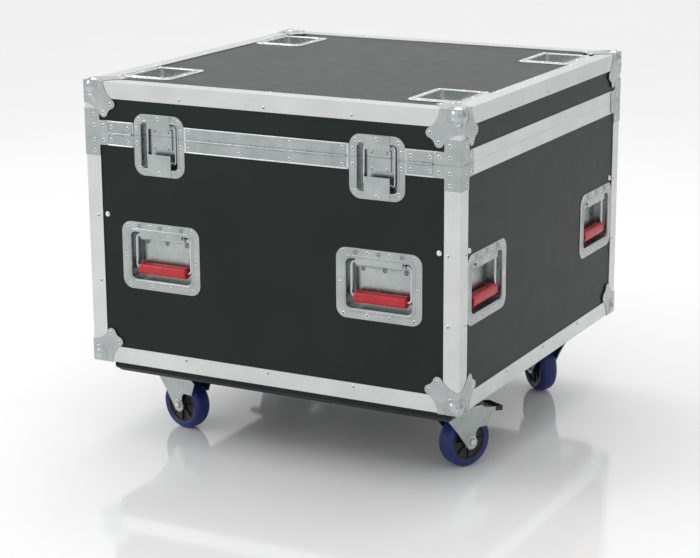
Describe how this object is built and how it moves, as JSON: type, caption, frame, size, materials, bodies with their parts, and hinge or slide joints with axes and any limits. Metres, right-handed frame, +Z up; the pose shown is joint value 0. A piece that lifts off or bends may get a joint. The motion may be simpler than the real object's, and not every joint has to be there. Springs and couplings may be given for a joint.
{
  "type": "wheeled flight case",
  "caption": "Wheeled transport case with hinged lid, aluminium edges, ball corners, recessed handles, lid stays, latches and stacking cups on a swivel-caster board.",
  "frame": {"origin": "on the floor under the middle of the case", "axes": "+Z up, -Y towards the hinge side, +X along the hinge line to the right as seen from the hinge side"},
  "size_m": [0.7718, 0.7718, 0.695],
  "materials": {
    "panel": "black laminate",
    "inner_floor": "plywood",
    "board": "black-painted plywood",
    "aluminium": "satin anodised",
    "ball_steel": "zinc-plated pressing",
    "zinc": "zinc-plated pressing",
    "hinge_steel": "zinc-plated strip",
    "rivet_steel": "bright",
    "chrome": "polished",
    "grip": "moulded red",
    "rim": "moulded black",
    "tyre": "blue elastic rubber"
  },
  "bodies": {
    "base": {"base_wall_panels": "panel", "base_floor_panel": "inner_floor", "caster_board": "board", "base_edge_angles": "aluminium", "base_tongue_rails": "aluminium", "base_ball_corners": "ball_steel", "base_corner_braces": "zinc", "handle_dishes": "zinc", "base_recess_dishes": "zinc", "base_rivets": "rivet_steel", "base_bolts": "rivet_steel", "caster_top_plates": "zinc", "hinge_lower_leaf": "hinge_steel", "hinge_pins": "hinge_steel"},
    "lid": {"lid_top_panel": "panel", "lid_wall_panels": "panel", "lid_edge_angles": "aluminium", "lid_groove_rails": "aluminium", "lid_ball_corners": "ball_steel", "lid_corner_braces": "zinc", "stacking_cups": "zinc", "lid_recess_dishes": "zinc", "lid_rivets": "rivet_steel", "hinge_upper_leaf": "hinge_steel"},
    "handle_1": {"handle_bail_1": "chrome", "handle_grip_1": "grip"},
    "handle_2": {"handle_bail_2": "chrome", "handle_grip_2": "grip"},
    "handle_3": {"handle_bail_3": "chrome", "handle_grip_3": "grip"},
    "handle_4": {"handle_bail_4": "chrome", "handle_grip_4": "grip"},
    "handle_5": {"handle_bail_5": "chrome", "handle_grip_5": "grip"},
    "handle_6": {"handle_bail_6": "chrome", "handle_grip_6": "grip"},
    "handle_7": {"handle_bail_7": "chrome", "handle_grip_7": "grip"},
    "handle_8": {"handle_bail_8": "chrome", "handle_grip_8": "grip"},
    "stay_loop_1": {"stay_loop_1": "chrome"},
    "latch_wing_1": {"latch_wing_1": "chrome"},
    "latch_hook_1": {"latch_hook_1": "chrome"},
    "stay_loop_2": {"stay_loop_2": "chrome"},
    "latch_wing_2": {"latch_wing_2": "chrome"},
    "latch_hook_2": {"latch_hook_2": "chrome"},
    "caster_1": {"caster_fork_1": "zinc"},
    "wheel_1": {"caster_rim_1": "rim", "caster_tyre_1": "tyre"},
    "brake_pedal_1": {"brake_pedal_1": "zinc"},
    "caster_2": {"caster_fork_2": "zinc"},
    "wheel_2": {"caster_rim_2": "rim", "caster_tyre_2": "tyre"},
    "caster_3": {"caster_fork_3": "zinc"},
    "wheel_3": {"caster_rim_3": "rim", "caster_tyre_3": "tyre"},
    "caster_4": {"caster_fork_4": "zinc"},
    "wheel_4": {"caster_rim_4": "rim", "caster_tyre_4": "tyre"},
    "brake_pedal_2": {"brake_pedal_2": "zinc"}
  },
  "joints": [
    {"name": "lid_hinge", "type": "hinge", "parent": "base", "child": "lid", "pos_m": [0, -0.38355, 0.595], "axis": [1, 0, 0], "range_deg": [0, 95]},
    {"name": "handle_1_swing", "type": "hinge", "parent": "base", "child": "handle_1", "pos_m": [-0.225, -0.369, 0.407], "axis": [-1, 0, 0], "range_deg": [0, 90], "stiffness_Nm_per_rad": 0.12, "springref_deg": -17.19},
    {"name": "handle_2_swing", "type": "hinge", "parent": "base", "child": "handle_2", "pos_m": [0.225, -0.369, 0.407], "axis": [-1, 0, 0], "range_deg": [0, 90], "stiffness_Nm_per_rad": 0.12, "springref_deg": -17.19},
    {"name": "handle_3_swing", "type": "hinge", "parent": "base", "child": "handle_3", "pos_m": [0.369, -0.266, 0.407], "axis": [0, -1, 0], "range_deg": [0, 90], "stiffness_Nm_per_rad": 0.12, "springref_deg": -17.19},
    {"name": "handle_4_swing", "type": "hinge", "parent": "base", "child": "handle_4", "pos_m": [0.369, 0.266, 0.407], "axis": [0, -1, 0], "range_deg": [0, 90], "stiffness_Nm_per_rad": 0.12, "springref_deg": -17.19},
    {"name": "handle_5_swing", "type": "hinge", "parent": "base", "child": "handle_5", "pos_m": [0.225, 0.369, 0.407], "axis": [1, 0, 0], "range_deg": [0, 90], "stiffness_Nm_per_rad": 0.12, "springref_deg": -17.19},
    {"name": "handle_6_swing", "type": "hinge", "parent": "base", "child": "handle_6", "pos_m": [-0.225, 0.369, 0.407], "axis": [1, 0, 0], "range_deg": [0, 90], "stiffness_Nm_per_rad": 0.12, "springref_deg": -17.19},
    {"name": "handle_7_swing", "type": "hinge", "parent": "base", "child": "handle_7", "pos_m": [-0.369, 0.266, 0.407], "axis": [0, 1, 0], "range_deg": [0, 90], "stiffness_Nm_per_rad": 0.12, "springref_deg": -17.19},
    {"name": "handle_8_swing", "type": "hinge", "parent": "base", "child": "handle_8", "pos_m": [-0.369, -0.266, 0.407], "axis": [0, 1, 0], "range_deg": [0, 90], "stiffness_Nm_per_rad": 0.12, "springref_deg": -17.19},
    {"name": "stay_loop_1_swing", "type": "hinge", "parent": "lid", "child": "stay_loop_1", "pos_m": [-0.222, -0.371, 0.617], "axis": [1, 0, 0], "range_deg": [-66, 0]},
    {"name": "latch_wing_1_turn", "type": "hinge", "parent": "base", "child": "latch_wing_1", "pos_m": [0.222, 0.373, 0.565], "axis": [0, -1, 0], "range_deg": [0, 180]},
    {"name": "latch_hook_1_slide", "type": "slide", "parent": "base", "child": "latch_hook_1", "axis": [0, 0, 1], "range_m": [0, 0.008]},
    {"name": "stay_loop_2_swing", "type": "hinge", "parent": "lid", "child": "stay_loop_2", "pos_m": [0.222, -0.371, 0.617], "axis": [1, 0, 0], "range_deg": [-66, 0]},
    {"name": "latch_wing_2_turn", "type": "hinge", "parent": "base", "child": "latch_wing_2", "pos_m": [-0.222, 0.373, 0.565], "axis": [0, -1, 0], "range_deg": [0, 180]},
    {"name": "latch_hook_2_slide", "type": "slide", "parent": "base", "child": "latch_hook_2", "axis": [0, 0, 1], "range_m": [0, 0.008]},
    {"name": "caster_1_swivel", "type": "hinge", "parent": "base", "child": "caster_1", "pos_m": [0.295, -0.245, 0.117], "axis": [0, 0, 1], "continuous": true},
    {"name": "wheel_1_spin", "type": "hinge", "parent": "caster_1", "child": "wheel_1", "pos_m": [0.31341, -0.20949, 0.05], "axis": [-0.8878, 0.4602, 0], "continuous": true},
    {"name": "brake_pedal_1_press", "type": "hinge", "parent": "caster_1", "child": "brake_pedal_1", "pos_m": [0.32445, -0.18818, 0.107], "axis": [-0.8878, 0.4602, 0], "range_deg": [0, 8]},
    {"name": "caster_2_swivel", "type": "hinge", "parent": "base", "child": "caster_2", "pos_m": [-0.295, -0.245, 0.117], "axis": [0, 0, 1], "continuous": true},
    {"name": "wheel_2_spin", "type": "hinge", "parent": "caster_2", "child": "wheel_2", "pos_m": [-0.25634, -0.25528, 0.05], "axis": [0.2571, 0.9664, 0], "continuous": true},
    {"name": "caster_3_swivel", "type": "hinge", "parent": "base", "child": "caster_3", "pos_m": [0.295, 0.245, 0.117], "axis": [0, 0, 1], "continuous": true},
    {"name": "wheel_3_spin", "type": "hinge", "parent": "caster_3", "child": "wheel_3", "pos_m": [0.2657, 0.27223, 0.05], "axis": [-0.6807, -0.7325, 0], "continuous": true},
    {"name": "caster_4_swivel", "type": "hinge", "parent": "base", "child": "caster_4", "pos_m": [-0.295, 0.245, 0.117], "axis": [0, 0, 1], "continuous": true},
    {"name": "wheel_4_spin", "type": "hinge", "parent": "caster_4", "child": "wheel_4", "pos_m": [-0.30868, 0.20741, 0.05], "axis": [0.9397, -0.342, 0], "continuous": true},
    {"name": "brake_pedal_2_press", "type": "hinge", "parent": "caster_4", "child": "brake_pedal_2", "pos_m": [-0.31689, 0.18486, 0.107], "axis": [0.9397, -0.342, 0], "range_deg": [0, 8]}
  ],
  "couplings": [
    {"joint": "stay_loop_1_swing", "follows": "lid_hinge", "ratio": -0.6835},
    {"joint": "latch_wing_1_turn", "follows": "latch_hook_1_slide", "rad_per_m": 392.69},
    {"joint": "stay_loop_2_swing", "follows": "lid_hinge", "ratio": -0.6835},
    {"joint": "latch_wing_2_turn", "follows": "latch_hook_2_slide", "rad_per_m": 392.69}
  ]
}
